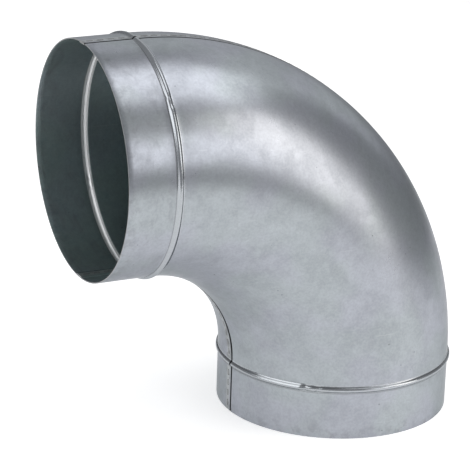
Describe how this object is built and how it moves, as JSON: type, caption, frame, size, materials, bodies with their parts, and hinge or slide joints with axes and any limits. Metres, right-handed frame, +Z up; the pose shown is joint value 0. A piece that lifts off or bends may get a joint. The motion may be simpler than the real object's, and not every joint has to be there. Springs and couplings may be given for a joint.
{
  "type": "flue elbow",
  "caption": "Pressed galvanised steel duct elbow turning ninety degrees, made of lapped and seam-welded half shells, with a stop bead behind each plain spigot.",
  "frame": {"origin": "centre of the lower collar's rim, in the plane the elbow stands on", "axes": "+Z runs up the lower collar's axis, the side collar's mouth faces -X, and the halves part at the plane y = 0 with the front half on the -Y side"},
  "size_m": [0.2718, 0.1624, 0.2718],
  "materials": {
    "galvanised_sheet": "hot-dip galvanised sheet, satin, with soft mottling",
    "seam_weld": "resistance seam weld, zinc burnt off, dull grey"
  },
  "bodies": {
    "root": {"front_half_shell": "galvanised_sheet", "back_half_shell": "galvanised_sheet", "throat_seam_welds": "seam_weld", "heel_seam_welds": "seam_weld"}
  },
  "joints": []
}
